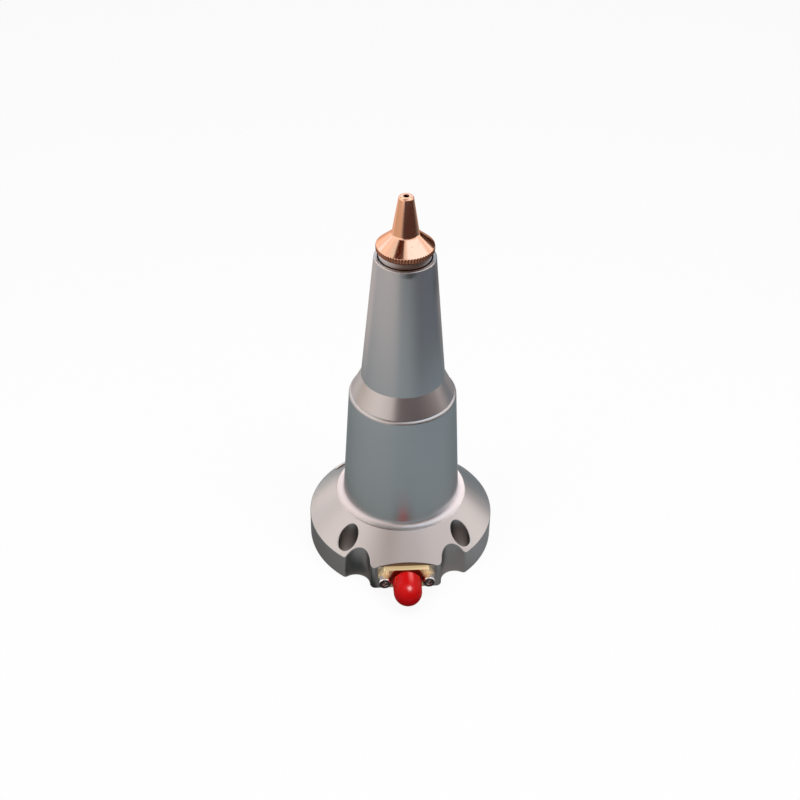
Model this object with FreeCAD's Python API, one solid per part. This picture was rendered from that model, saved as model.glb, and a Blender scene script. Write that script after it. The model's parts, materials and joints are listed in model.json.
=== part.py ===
# Laser cutting head: the cone, its insulated gas tube, its coax connector and its screw-in nozzle.
# It stands on its mounting flange with the nozzle up. Sizes are in millimetres.
# The origin is the centre of the flange's underside, +Z runs to the nozzle, and the connector faces -Y.

import FreeCAD, Part
import math
import os

# Mounting flange
rim_height = 7.8
cone_angle = 45.0
collar_land = 0.15
front_flat_depth = 1.6
lobe_margin = 3.15
flat_corner_round = 1.5
scallop_radius = 4.0
scallop_wall = 0.77
scallop_side_cut = 1.08
scallop_corner_round = 1.0
edge_break = 0.3

# Mounting holes, locating register and face seal
bolt_count = 4
bolt_hole_radius = 2.75
bolt_hole_round = 0.25
bolt_inner_wall = 1.05
bolt_outer_wall = 1.25
register_step = 0.6
register_depth = 2.6
register_chamfer = 0.4
base_groove_wall = 1.0
base_groove_width = 2.2
base_groove_depth = 1.5

# Barrel
barrel_length = 35.2
barrel_foot_wall = 3.3
barrel_top_wall = 2.0
foot_fillet = 1.75
shoulder_round = 1.1
rib_height = 1.8
rib_depth = 1.4
top_bore_step = 0.5

# Nose cone
skirt_step = 0.55
skirt_height = 5.6
skirt_slope_width = 2.7
nose_length = 36.6
nose_wall = 1.65
nose_mouth_gap = 0.3
nose_lip_wall = 0.85
nose_lip_round = 0.3
nose_lip_height = 1.8
nose_lip_step = 0.3
spigot_length = 7.2
spigot_wall = 2.45
spigot_end_gap = 0.3
nose_groove_from_end = 1.4
nose_groove_width = 1.6
nose_groove_depth = 1.1

# Inner stack, from the base up
fit_gap = 0.05
seal_gap = 0.02
lock_ring_height = 2.5
lock_ring_gap = 0.9
spanner_slot_width = 2.4
spanner_slot_depth = 1.0
insulator_base_height = 6.9
insulator_wall = 1.2
insulator_groove_height = 18.0
insulator_groove_width = 1.8
insulator_groove_depth = 1.2
tube_radius = 8.4
tube_collar_height = 4.0
tube_foot_step = 0.3
tube_foot_gap = 0.5
tube_entry_wall = 1.2
tube_socket_wall = 1.05
tube_seat_width = 0.5
tube_taper_below_joint = 4.8
tube_groove_height = 14.0
tube_groove_width = 1.4
tube_groove_depth = 0.9
tip_insulator_height = 9.2
tip_seal_gap = 0.1

# Nozzle and its seat
nozzle_thread_radius = 4.0
nozzle_shank_gap = 0.05
nozzle_shank_length = 3.7
nozzle_shank_wall = 0.85
nozzle_rim_overhang = 0.65
nozzle_rim_height = 1.65
nozzle_rim_gap = 0.05
knurl_count = 60
knurl_depth = 0.22
knurl_chamfer = 0.15
knurl_foot_chamfer = 0.4
shoulder_height = 3.4
shoulder_top_radius = 3.5
nozzle_waist_fillet = 0.9
nozzle_taper_length = 10.25
nozzle_tip_wall = 1.12
nozzle_tip_round = 0.6
nozzle_entry_depth = 4.0
orifice_radius = 0.75
orifice_length = 2.0
washer_gap = 0.3
washer_width = 1.3
washer_thickness = 0.6
washer_recess_gap = 0.3
holder_stem_wall = 1.1
holder_stem_length = 5.8
holder_seat_width = 1.25
holder_seat_chamfer = 0.2
holder_flange_height = 3.3
holder_stand_out = 1.7

# Coax connector on the front flat
connector_floor_gap = 2.1
connector_plate_ear = 1.75
connector_plate_half_height = 3.1
connector_plate_thickness = 1.65
connector_plate_round = 0.5
connector_barrel_radius = 3.175
connector_barrel_length = 6.0
connector_relief_depth = 0.425
connector_relief_length = 0.8
connector_boss_wall = 0.3
connector_boss_length = 1.5
connector_boss_gap = 0.1
dielectric_radius = 2.05
dielectric_tail = 0.9
pin_radius = 0.635
pin_socket_radius = 0.46
pin_socket_depth = 3.0
pin_tail = 2.6
connector_seal_radius = 0.27
connector_seal_room = 0.6

# Connector screws
screw_head_radius = 1.75
screw_head_height = 2.0
screw_head_round = 0.25
screw_head_gap = 0.4
screw_shank_radius = 1.0
screw_plate_gap = 0.15
screw_length = 6.0
screw_hole_gap = 0.02
screw_hole_room = 1.05
hex_across_flats = 1.5
hex_depth = 1.0

# Dust cap
cap_wall = 0.7
cap_length = 9.15
cap_seat_gap = 1.35
cap_bore_gap = 0.075
cap_end_room = 0.35

# Signal wire and its contact on the gas tube
wire_radius = 0.35
wire_rise_offset = 1.0
wire_hole_radius = 1.25
wire_slot_end_room = 1.2
wire_in_cup = 1.0
wire_bend_share = 0.45
wire_cup_gap = 0.07
lug_thickness = 0.4
lug_ring_radius = 1.6
lug_tube_gap = 0.2
lug_tail_half_width = 0.8
lug_tail_end = 0.9
lug_wire_gap = 0.05
contact_edge = 1.5
contact_shank_radius = 0.8
contact_shank_length = 3.4
contact_head_radius = 1.45
contact_head_height = 1.1
contact_slot_width = 0.4
contact_slot_depth = 0.5
window_side_gap = 0.6
window_top_gap = 0.9

# Radii round the nozzle's thread, from the thread outwards
holder_stem_radius = nozzle_thread_radius + holder_stem_wall
washer_inner_radius = nozzle_thread_radius + washer_gap
washer_outer_radius = washer_inner_radius + washer_width
holder_flange_radius = washer_outer_radius + holder_seat_width
nozzle_rim_radius = holder_flange_radius + nozzle_rim_overhang
nozzle_shank_radius = nozzle_thread_radius - nozzle_shank_gap
nozzle_entry_radius = nozzle_shank_radius - nozzle_shank_wall
nozzle_tip_radius = orifice_radius + nozzle_tip_wall
nose_mouth_radius = holder_flange_radius + nose_mouth_gap
nose_top_radius = nose_mouth_radius + nose_lip_wall
nose_tip_bore_radius = nose_mouth_radius + nose_lip_step

# Radii of the gas tube and of what lies round it, from the tube outwards
tube_top_radius = holder_stem_radius + fit_gap + tube_socket_wall
tube_exit_radius = holder_stem_radius - tube_seat_width
tube_entry_radius = tube_radius - tube_entry_wall
tube_foot_radius = tube_radius - tube_foot_step
lock_ring_bore_radius = tube_foot_radius + lock_ring_gap
tip_seal_radius = (nose_tip_bore_radius - tube_top_radius) / 2 - tip_seal_gap
contact_screw_radius = tube_radius + lug_tube_gap + lug_ring_radius
tube_collar_radius = contact_screw_radius + contact_edge
bore_radius = tube_collar_radius + fit_gap + insulator_wall + fit_gap
rib_radius = bore_radius - rib_depth
wire_rise_radius = bore_radius + wire_rise_offset
window_half_width = lug_ring_radius + window_side_gap
window_height = lug_thickness + contact_head_height + window_top_gap

# Radii of the body and the nose cone, from the bore outwards
top_bore_radius = bore_radius - top_bore_step
barrel_top_radius = top_bore_radius + barrel_top_wall
barrel_foot_radius = bore_radius + barrel_foot_wall
skirt_radius = barrel_top_radius - skirt_step
nose_base_radius = skirt_radius - skirt_slope_width
nose_cavity_radius = nose_base_radius - nose_wall
spigot_radius = top_bore_radius - fit_gap
spigot_bore_radius = spigot_radius - spigot_wall
collar_radius = barrel_foot_radius + foot_fillet + collar_land
bolt_circle_radius = collar_radius + bolt_inner_wall + bolt_hole_radius
flange_radius = bolt_circle_radius + bolt_hole_radius + bolt_outer_wall
register_radius = bore_radius + register_step
base_groove_radius = register_radius + register_chamfer + base_groove_wall + base_groove_width / 2

# Sizes across the connector, from its middle outwards
connector_height = connector_plate_half_height + connector_floor_gap
connector_relief_radius = connector_barrel_radius - connector_relief_depth
connector_boss_radius = dielectric_radius + seal_gap + connector_boss_wall
cup_radius = wire_radius + wire_cup_gap
cap_radius = connector_barrel_radius + cap_bore_gap + cap_wall
connector_screw_offset = cap_radius + screw_head_gap + screw_head_radius
connector_plate_half_width = connector_screw_offset + connector_plate_ear
connector_screw_clearance_radius = screw_shank_radius + screw_plate_gap
screw_hole_depth = screw_length - connector_plate_thickness + screw_hole_room
lobe_half_width = connector_plate_half_width + lobe_margin
scallop_centre_x = lobe_half_width + scallop_radius - scallop_side_cut
bolt_offset = bolt_circle_radius * math.sqrt(0.5)
scallop_to_bolt = scallop_radius + scallop_wall + bolt_hole_radius
scallop_centre_y = -bolt_offset - math.sqrt(scallop_to_bolt ** 2 - (bolt_offset - scallop_centre_x) ** 2)

# Heights that follow from the sizes above
collar_z = rim_height + (flange_radius - collar_radius) * math.tan(math.radians(cone_angle))
joint_z = collar_z + barrel_length
skirt_top_z = joint_z + skirt_height
nose_top_z = skirt_top_z + nose_length
holder_top_z = nose_top_z + holder_stand_out
tube_top_z = holder_top_z - holder_flange_height
holder_foot_z = tube_top_z - holder_stem_length
spigot_foot_z = joint_z - spigot_length
rib_top_z = spigot_foot_z - spigot_end_gap
rib_foot_z = rib_top_z - rib_height
lock_ring_top_z = register_depth + lock_ring_height
collar_foot_z = lock_ring_top_z + insulator_base_height
tube_collar_top_z = collar_foot_z + tube_collar_height
tube_foot_z = lock_ring_top_z + tube_foot_gap
tube_taper_z = joint_z - tube_taper_below_joint
tip_insulator_top_z = nose_top_z - nose_lip_height
tip_insulator_foot_z = tip_insulator_top_z - tip_insulator_height
tip_seal_foot_z = tip_insulator_foot_z - 2 * tip_seal_radius
rim_foot_z = holder_top_z + nozzle_rim_gap
rim_top_z = rim_foot_z + nozzle_rim_height
shoulder_top_z = rim_top_z + shoulder_height
nozzle_top_z = shoulder_top_z + nozzle_taper_length
nozzle_foot_z = rim_foot_z - nozzle_shank_length

# Places along Y that follow from the sizes above
front_flat_y = front_flat_depth - flange_radius
plate_front_y = front_flat_y - connector_plate_thickness
barrel_end_y = plate_front_y - connector_barrel_length
boss_end_y = front_flat_y + connector_boss_length
dielectric_end_y = boss_end_y + dielectric_tail
pin_end_y = boss_end_y + pin_tail

up = FreeCAD.Vector(0, 0, 1)
inward = FreeCAD.Vector(0, 1, 0)
outward = FreeCAD.Vector(0, -1, 0)
origin = FreeCAD.Vector(0, 0, 0)


# Building blocks

def turned(points):
    """A solid turned about Z from a closed outline of (radius, height) points."""
    corners = [FreeCAD.Vector(radius, 0, height) for radius, height in points]
    outline = Part.makePolygon(corners + corners[:1])
    return Part.Face(outline).revolve(origin, up, 360)


def ring(inner_radius, outer_radius, foot_z, top_z):
    """A plain ring about Z."""
    return turned([
        (inner_radius, foot_z),
        (outer_radius, foot_z),
        (outer_radius, top_z),
        (inner_radius, top_z),
    ])


def post(radius, foot_z, top_z, x=0.0, y=0.0):
    """A cylinder that stands along Z."""
    return Part.makeCylinder(radius, top_z - foot_z, FreeCAD.Vector(x, y, foot_z), up)


def rod(radius, front_y, back_y, x=0.0):
    """A cylinder that lies along Y at the connector's height."""
    return Part.makeCylinder(radius, back_y - front_y, FreeCAD.Vector(x, front_y, connector_height), inward)


def block(x_half, y_low, y_high, z_low, z_high):
    """A box centred on X."""
    corner = FreeCAD.Vector(-x_half, y_low, z_low)
    return Part.makeBox(2 * x_half, y_high - y_low, z_high - z_low, corner)


def seal(centre_radius, section_radius, centre_z):
    """An O-ring about Z."""
    return Part.makeTorus(centre_radius, section_radius, FreeCAD.Vector(0, 0, centre_z), up)


def ring_edges(shape, radius, height):
    """The full round edges about Z of one radius and height."""
    found = []
    for edge in shape.Edges:
        if not isinstance(edge.Curve, Part.Circle):
            continue
        if abs(edge.Curve.Radius - radius) < 1e-4 and abs(edge.Curve.Center.z - height) < 1e-4:
            found.append(edge)
    return found


def hexagon_prism(across_flats, front_y, back_y, x):
    """A six-sided prism along Y, for the socket in a screw's head."""
    reach = across_flats / math.sqrt(3)
    corners = []
    for step in range(7):
        angle = math.radians(60 * step)
        corner_x = x + reach * math.cos(angle)
        corner_z = connector_height + reach * math.sin(angle)
        corners.append(FreeCAD.Vector(corner_x, front_y, corner_z))
    return Part.Face(Part.makePolygon(corners)).extrude(FreeCAD.Vector(0, back_y - front_y, 0))


# Body: the mounting flange and the barrel, turned from one bar

def flange_outline():
    """The flange seen from above, as a tall prism: a disc with a front flat between two scallops."""
    outline = post(flange_radius, 0, joint_z)
    outline = outline.fuse(block(lobe_half_width, front_flat_y, 0, 0, joint_z))
    outline = outline.cut(block(flange_radius, -2 * flange_radius, front_flat_y, 0, joint_z))
    for side in (-1, 1):
        x = side * scallop_centre_x
        outline = outline.cut(post(scallop_radius, 0, joint_z, x, scallop_centre_y))
    outline = outline.removeSplitter()
    outline = outline.makeFillet(flat_corner_round, corners_near(outline, on_front_flat))
    return outline.makeFillet(scallop_corner_round, corners_near(outline, on_front_rim))


def on_front_flat(point):
    """Says whether a point lies on the flat that carries the connector."""
    return abs(point.y - front_flat_y) < 1e-4


def on_front_rim(point):
    """Says whether a point lies on the front half of the rim."""
    return point.y < 0 and abs(math.hypot(point.x, point.y) - flange_radius) < 1e-4


def corners_near(shape, test):
    """The upright edges of a prism whose foot passes a test."""
    found = []
    for edge in shape.Edges:
        is_upright = edge.BoundBox.ZLength > joint_z / 2
        if is_upright and test(edge.Vertexes[0].Point):
            found.append(edge)
    return found


def body_form():
    """The solid outer form: conical flange top, fillet at the foot, tapered barrel, rounded shoulder."""
    spread = lobe_half_width
    drop = spread * math.tan(math.radians(cone_angle))
    form = turned([
        (0, 0),
        (flange_radius + spread, 0),
        (flange_radius + spread, max(rim_height - drop, rim_height / 4)),
        (flange_radius, rim_height),
        (collar_radius, collar_z),
        (barrel_foot_radius, collar_z),
        (barrel_top_radius, joint_z),
        (0, joint_z),
    ])
    form = form.makeFillet(foot_fillet, ring_edges(form, barrel_foot_radius, collar_z))
    form = form.makeFillet(shoulder_round, ring_edges(form, barrel_top_radius, joint_z))
    return form.common(flange_outline())


def body_bores():
    """Everything bored along Z: locating register, insulator bore, rib, and the seat of the nose cone."""
    bores = turned([
        (0, 0),
        (register_radius + register_chamfer, 0),
        (register_radius, register_chamfer),
        (register_radius, register_depth),
        (bore_radius, register_depth),
        (bore_radius, rib_foot_z),
        (rib_radius, rib_foot_z),
        (rib_radius, rib_top_z),
        (top_bore_radius, rib_top_z),
        (top_bore_radius, joint_z),
        (0, joint_z),
    ])
    groove_inner = base_groove_radius - base_groove_width / 2
    groove_outer = base_groove_radius + base_groove_width / 2
    return bores.fuse(ring(groove_inner, groove_outer, 0, base_groove_depth))


def bolt_holes():
    """The four mounting holes, upright through the conical top."""
    tools = []
    for number in range(bolt_count):
        angle = math.radians(45 + number * 360 / bolt_count)
        x = bolt_circle_radius * math.cos(angle)
        y = bolt_circle_radius * math.sin(angle)
        tools.append(post(bolt_hole_radius, 0, joint_z, x, y))
    return tools


def connector_holes():
    """The stepped hole behind the connector, its two screw holes, and the slot for the signal wire."""
    seat_y = front_flat_y + connector_seal_room
    seal_room = connector_boss_radius + 2 * connector_seal_radius + connector_boss_gap
    wire_slot_top = tube_collar_top_z + lug_thickness + wire_slot_end_room
    tools = [
        rod(seal_room, front_flat_y, seat_y),
        rod(connector_boss_radius + connector_boss_gap, front_flat_y, pin_end_y),
        rod(wire_hole_radius, front_flat_y, -wire_rise_radius),
        post(wire_hole_radius, connector_height - wire_hole_radius, wire_slot_top, 0, -wire_rise_radius),
        block(wire_hole_radius, -wire_rise_radius, 0, connector_height - wire_hole_radius, wire_slot_top),
    ]
    for side in (-1, 1):
        hole_end_y = front_flat_y + screw_hole_depth
        x = side * connector_screw_offset
        tools.append(rod(screw_shank_radius + screw_hole_gap, front_flat_y, hole_end_y, x))
    return tools


def body():
    """The one-piece flange and barrel."""
    form = body_form()
    top_edges = edges_between(form, rim_height / 2, collar_z - edge_break)
    form = form.makeFillet(edge_break, top_edges + edges_between(form, -edge_break, edge_break))
    form = form.cut(body_bores())
    for tool in bolt_holes() + connector_holes():
        form = form.cut(tool)
    mouths = []
    for edge in edges_between(form, rim_height + edge_break, collar_z - edge_break):
        is_mouth = edge.Closed and not isinstance(edge.Curve, Part.Circle)
        if is_mouth:
            mouths.append(edge)
    return form.makeFillet(bolt_hole_round, mouths)


def edges_between(shape, low, high):
    """The edges that lie wholly between two heights."""
    return [edge for edge in shape.Edges if edge.BoundBox.ZMin > low and edge.BoundBox.ZMax < high]


# Nose cone

def nose_cone():
    """The upper cone: a threaded spigot, a steep skirt, the long taper and the lip at the mouth."""
    cone = turned([
        (spigot_bore_radius, spigot_foot_z),
        (spigot_radius, spigot_foot_z),
        (spigot_radius, joint_z),
        (skirt_radius, joint_z),
        (nose_base_radius, skirt_top_z),
        (nose_top_radius, nose_top_z),
        (nose_mouth_radius, nose_top_z),
        (nose_mouth_radius, tip_insulator_top_z),
        (nose_tip_bore_radius, tip_insulator_top_z),
        (nose_tip_bore_radius, tip_seal_foot_z),
        (nose_cavity_radius, skirt_top_z),
        (spigot_bore_radius, joint_z),
    ])
    cone = cone.makeFillet(nose_lip_round, ring_edges(cone, nose_top_radius, nose_top_z))
    groove_foot = spigot_foot_z + nose_groove_from_end
    groove_floor = top_bore_radius - nose_groove_depth
    return cone.cut(ring(groove_floor, top_bore_radius, groove_foot, groove_foot + nose_groove_width))


# Inner stack: lock ring, insulators, gas tube and seals

def lock_ring():
    """The threaded ring that clamps the stack from below, with four spanner slots."""
    clamp = ring(lock_ring_bore_radius, bore_radius - fit_gap, register_depth, lock_ring_top_z)
    slot_top = register_depth + spanner_slot_depth
    slot = block(spanner_slot_width / 2, -bore_radius, bore_radius, register_depth, slot_top)
    for turn in (45, 135):
        cutter = slot.copy()
        cutter.rotate(origin, up, turn)
        clamp = clamp.cut(cutter)
    return clamp


def lower_insulator():
    """The plastic cup that holds the gas tube's collar off the body."""
    return turned([
        (tube_foot_radius + fit_gap, lock_ring_top_z),
        (bore_radius - fit_gap, lock_ring_top_z),
        (bore_radius - fit_gap, tube_collar_top_z),
        (tube_collar_radius + fit_gap, tube_collar_top_z),
        (tube_collar_radius + fit_gap, collar_foot_z),
        (tube_foot_radius + fit_gap, collar_foot_z),
    ])


def upper_insulator():
    """The plastic sleeve above the collar, with a window for the contact and an O-ring groove."""
    sleeve = ring(tube_radius + fit_gap, bore_radius - fit_gap, tube_collar_top_z, rib_foot_z)
    window_top = tube_collar_top_z + window_height
    window_room = block(window_half_width, -bore_radius, -tube_radius, tube_collar_top_z, window_top)
    groove_foot = tube_collar_top_z + insulator_groove_height
    groove_floor = bore_radius - insulator_groove_depth
    groove = ring(groove_floor, bore_radius, groove_foot, groove_foot + insulator_groove_width)
    return sleeve.cut(window_room).cut(groove)


def tip_insulator():
    """The ceramic ring that centres the gas tube in the nose cone's mouth."""
    inner = tube_top_radius + fit_gap
    outer = nose_tip_bore_radius - fit_gap
    return ring(inner, outer, tip_insulator_foot_z, tip_insulator_top_z)


def electrode_tube():
    """The brass gas tube that carries the nozzle's signal, tapered inside and out."""
    tube = turned([
        (tube_entry_radius, tube_foot_z),
        (tube_foot_radius, tube_foot_z),
        (tube_foot_radius, collar_foot_z),
        (tube_collar_radius, collar_foot_z),
        (tube_collar_radius, tube_collar_top_z),
        (tube_radius, tube_collar_top_z),
        (tube_radius, tube_taper_z),
        (tube_top_radius, tip_seal_foot_z),
        (tube_top_radius, tube_top_z),
        (holder_stem_radius + fit_gap, tube_top_z),
        (holder_stem_radius + fit_gap, holder_foot_z),
        (tube_exit_radius, holder_foot_z),
    ])
    groove_foot = tube_collar_top_z + tube_groove_height
    groove = ring(tube_radius - tube_groove_depth, tube_radius, groove_foot, groove_foot + tube_groove_width)
    hole_foot = tube_collar_top_z - contact_shank_length + lug_thickness
    hole = post(contact_shank_radius + screw_hole_gap, hole_foot, tube_collar_top_z, 0, -contact_screw_radius)
    return tube.cut(groove).cut(hole)


def groove_seal(groove_floor, wall_radius, groove_middle):
    """An O-ring that fills the room between a groove's floor and the wall over it."""
    section = (wall_radius - groove_floor) / 2 - seal_gap
    return seal((wall_radius + groove_floor) / 2, section, groove_middle)


def base_seal():
    """The O-ring in the flange's underside."""
    return seal(base_groove_radius, base_groove_depth / 2 - seal_gap, base_groove_depth / 2)


def nose_seal():
    """The O-ring between the nose cone's spigot and the barrel."""
    middle = spigot_foot_z + nose_groove_from_end + nose_groove_width / 2
    return groove_seal(top_bore_radius - nose_groove_depth, top_bore_radius, middle)


def tube_seal():
    """The O-ring between the gas tube and the upper insulator."""
    middle = tube_collar_top_z + tube_groove_height + tube_groove_width / 2
    return groove_seal(tube_radius - tube_groove_depth, tube_radius + fit_gap, middle)


def insulator_seal():
    """The O-ring between the upper insulator and the barrel."""
    middle = tube_collar_top_z + insulator_groove_height + insulator_groove_width / 2
    return groove_seal(bore_radius - insulator_groove_depth, bore_radius, middle)


def tip_seal():
    """The O-ring under the tip insulator."""
    centre_radius = (nose_tip_bore_radius + tube_top_radius) / 2
    return seal(centre_radius, tip_seal_radius, tip_seal_foot_z + tip_seal_radius)


# Nozzle, its washer and its holder

def nozzle_holder():
    """The plated ring, screwed into the gas tube, that the nozzle screws into."""
    holder = turned([
        (nozzle_thread_radius, holder_foot_z),
        (holder_stem_radius, holder_foot_z),
        (holder_stem_radius, tube_top_z),
        (holder_flange_radius, tube_top_z),
        (holder_flange_radius, holder_top_z),
        (nozzle_thread_radius, holder_top_z),
    ])
    return holder.makeChamfer(holder_seat_chamfer, ring_edges(holder, holder_flange_radius, holder_top_z))


def nozzle_washer():
    """The soft washer trapped in the nozzle's seat."""
    return ring(washer_inner_radius, washer_outer_radius, holder_top_z, holder_top_z + washer_thickness)


def knurled_rim():
    """The nozzle's rim as a prism with straight V grooves all round."""
    corners = []
    for step in range(2 * knurl_count):
        radius = nozzle_rim_radius - knurl_depth * (step % 2)
        angle = math.pi * step / knurl_count
        corners.append(FreeCAD.Vector(radius * math.cos(angle), radius * math.sin(angle), nozzle_foot_z))
    face = Part.Face(Part.makePolygon(corners + corners[:1]))
    return face.extrude(FreeCAD.Vector(0, 0, nozzle_top_z - nozzle_foot_z))


def nozzle():
    """The copper nozzle: threaded shank, knurled rim, shoulder cone, long taper and rounded tip."""
    recess_radius = washer_outer_radius + washer_recess_gap
    recess_top = holder_top_z + washer_thickness
    shoulder_radius = nozzle_rim_radius - knurl_chamfer
    form = turned([
        (0, nozzle_foot_z),
        (nozzle_shank_radius, nozzle_foot_z),
        (nozzle_shank_radius, recess_top),
        (recess_radius, recess_top),
        (recess_radius, rim_foot_z),
        (nozzle_rim_radius - knurl_foot_chamfer, rim_foot_z),
        (nozzle_rim_radius, rim_foot_z + knurl_foot_chamfer),
        (nozzle_rim_radius, rim_top_z - knurl_chamfer),
        (shoulder_radius, rim_top_z),
        (shoulder_top_radius, shoulder_top_z),
        (nozzle_tip_radius, nozzle_top_z),
        (0, nozzle_top_z),
    ])
    form = form.makeFillet(nozzle_waist_fillet, ring_edges(form, shoulder_top_radius, shoulder_top_z))
    form = form.makeFillet(nozzle_tip_round, ring_edges(form, nozzle_tip_radius, nozzle_top_z))
    passage = turned([
        (0, nozzle_foot_z),
        (nozzle_entry_radius, nozzle_foot_z),
        (nozzle_entry_radius, nozzle_foot_z + nozzle_entry_depth),
        (orifice_radius, nozzle_top_z - orifice_length),
        (orifice_radius, nozzle_top_z),
        (0, nozzle_top_z),
    ])
    return form.common(knurled_rim()).cut(passage)


# Coax connector

def connector_plate():
    """The gold six-sided mounting plate."""
    corners = []
    for x, z in (
        (-connector_plate_half_width, 0),
        (-connector_screw_offset, connector_plate_half_height),
        (connector_screw_offset, connector_plate_half_height),
        (connector_plate_half_width, 0),
        (connector_screw_offset, -connector_plate_half_height),
        (-connector_screw_offset, -connector_plate_half_height),
    ):
        corners.append(FreeCAD.Vector(x, plate_front_y, connector_height + z))
    face = Part.Face(Part.makePolygon(corners + corners[:1]))
    plate = face.extrude(FreeCAD.Vector(0, connector_plate_thickness, 0))
    across = [edge for edge in plate.Edges if edge.BoundBox.YLength > connector_plate_thickness / 2]
    return plate.makeFillet(connector_plate_round, across)


def connector_shell():
    """The gold plate with its threaded barrel in front and its boss behind."""
    relief_end_y = plate_front_y - connector_relief_length
    shell = connector_plate()
    shell = shell.fuse(rod(connector_relief_radius, relief_end_y, plate_front_y))
    shell = shell.fuse(rod(connector_barrel_radius, barrel_end_y, relief_end_y))
    shell = shell.fuse(rod(connector_boss_radius, front_flat_y, boss_end_y))
    shell = shell.cut(rod(dielectric_radius + seal_gap, barrel_end_y, boss_end_y))
    for side in (-1, 1):
        x = side * connector_screw_offset
        shell = shell.cut(rod(connector_screw_clearance_radius, plate_front_y, front_flat_y, x))
    return shell


def connector_dielectric():
    """The white insulator inside the connector."""
    core = rod(dielectric_radius, barrel_end_y, dielectric_end_y)
    return core.cut(rod(pin_radius + seal_gap, barrel_end_y, dielectric_end_y))


def connector_pin():
    """The gold centre contact: a socket in front and a solder cup behind."""
    pin = rod(pin_radius, barrel_end_y, pin_end_y)
    pin = pin.cut(rod(pin_socket_radius, barrel_end_y, barrel_end_y + pin_socket_depth))
    return pin.cut(rod(cup_radius, pin_end_y - wire_in_cup - seal_gap, pin_end_y))


def connector_seal():
    """The O-ring behind the connector's plate."""
    centre = FreeCAD.Vector(0, front_flat_y + connector_seal_radius + seal_gap, connector_height)
    centre_radius = connector_boss_radius + connector_seal_radius + connector_boss_gap / 2
    return Part.makeTorus(centre_radius, connector_seal_radius, centre, inward)


def connector_screws():
    """The two hex-socket cap screws."""
    screws = []
    for side in (-1, 1):
        x = side * connector_screw_offset
        head_front_y = plate_front_y - screw_head_height
        head = rod(screw_head_radius, head_front_y, plate_front_y, x)
        rims = [edge for edge in head.Edges if edge.BoundBox.YMax < head_front_y + 1e-4]
        head = head.makeFillet(screw_head_round, rims)
        screw = head.fuse(rod(screw_shank_radius, plate_front_y, plate_front_y + screw_length, x))
        screws.append(screw.cut(hexagon_prism(hex_across_flats, head_front_y, head_front_y + hex_depth, x)))
    return Part.makeCompound(screws)


def dust_cap():
    """The red cap pushed over the connector's barrel: a tube with a domed end."""
    mouth_y = plate_front_y - cap_seat_gap
    dome_y = plate_front_y - cap_length + cap_radius
    bore_end_y = barrel_end_y - cap_end_room
    cap = rod(cap_radius, dome_y, mouth_y)
    cap = cap.fuse(Part.makeSphere(cap_radius, FreeCAD.Vector(0, dome_y, connector_height)))
    return cap.cut(rod(connector_barrel_radius + cap_bore_gap, bore_end_y, plate_front_y + cap_radius))


# Signal wire and contact

def signal_wire():
    """The wire from the solder cup, along the drilled hole, round one bend and up to the lug."""
    start = FreeCAD.Vector(0, pin_end_y - wire_in_cup, connector_height)
    corner = FreeCAD.Vector(0, -wire_rise_radius, connector_height)
    end = FreeCAD.Vector(0, -wire_rise_radius, tube_collar_top_z + lug_thickness)
    run = min((corner - start).Length, (end - corner).Length)
    bend_radius = wire_bend_share * run
    before = corner + outward * bend_radius
    after = corner + up * bend_radius
    middle = before + up * bend_radius
    middle = middle + (inward - up) * (bend_radius / math.sqrt(2))
    path = Part.Wire([
        Part.LineSegment(start, before).toShape(),
        Part.Arc(before, middle, after).toShape(),
        Part.LineSegment(after, end).toShape(),
    ])
    section = Part.Wire(Part.Circle(start, inward, wire_radius).toShape())
    wire = path.makePipeShell([section], True, False)
    expected = path.Length * math.pi * wire_radius ** 2
    print("signal wire: bend radius %.2f, length %.2f, volume %.3f of %.3f" % (
        bend_radius, path.Length, wire.Volume, expected))
    return wire


def contact_lug():
    """The flat tag that joins the wire to the gas tube's collar."""
    foot = tube_collar_top_z
    top = foot + lug_thickness
    tail_end = -wire_rise_radius - lug_tail_end
    lug = post(lug_ring_radius, foot, top, 0, -contact_screw_radius)
    lug = lug.fuse(block(lug_tail_half_width, tail_end, -contact_screw_radius, foot, top))
    lug = lug.cut(post(contact_shank_radius + screw_hole_gap, foot, top, 0, -contact_screw_radius))
    return lug.cut(post(wire_radius + lug_wire_gap, foot, top, 0, -wire_rise_radius))


def contact_screw():
    """The small slotted screw that clamps the lug."""
    seat = tube_collar_top_z + lug_thickness
    head_top = seat + contact_head_height
    screw = post(contact_head_radius, seat, head_top, 0, -contact_screw_radius)
    shank_foot = seat - contact_shank_length
    screw = screw.fuse(post(contact_shank_radius, shank_foot, seat, 0, -contact_screw_radius))
    slot_low_y = -contact_screw_radius - contact_slot_width / 2
    slot_high_y = -contact_screw_radius + contact_slot_width / 2
    slot_floor = head_top - contact_slot_depth
    return screw.cut(block(contact_head_radius, slot_low_y, slot_high_y, slot_floor, head_top))


pieces = {
    "body": body,
    "nose_cone": nose_cone,
    "lock_ring": lock_ring,
    "lower_insulator": lower_insulator,
    "upper_insulator": upper_insulator,
    "tip_insulator": tip_insulator,
    "electrode_tube": electrode_tube,
    "base_seal": base_seal,
    "nose_seal": nose_seal,
    "tube_seal": tube_seal,
    "insulator_seal": insulator_seal,
    "tip_seal": tip_seal,
    "nozzle_holder": nozzle_holder,
    "nozzle_washer": nozzle_washer,
    "nozzle": nozzle,
    "connector_shell": connector_shell,
    "connector_dielectric": connector_dielectric,
    "connector_pin": connector_pin,
    "connector_seal": connector_seal,
    "connector_screws": connector_screws,
    "dust_cap": dust_cap,
    "signal_wire": signal_wire,
    "contact_lug": contact_lug,
    "contact_screw": contact_screw,
}

os.makedirs("parts", exist_ok=True)
for name, make in pieces.items():
    shape = make()
    shape.exportStep("parts/" + name + ".step")
    print("%-22s solids %d valid %s volume %.1f" % (name, len(shape.Solids), shape.isValid(), shape.Volume))
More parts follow.
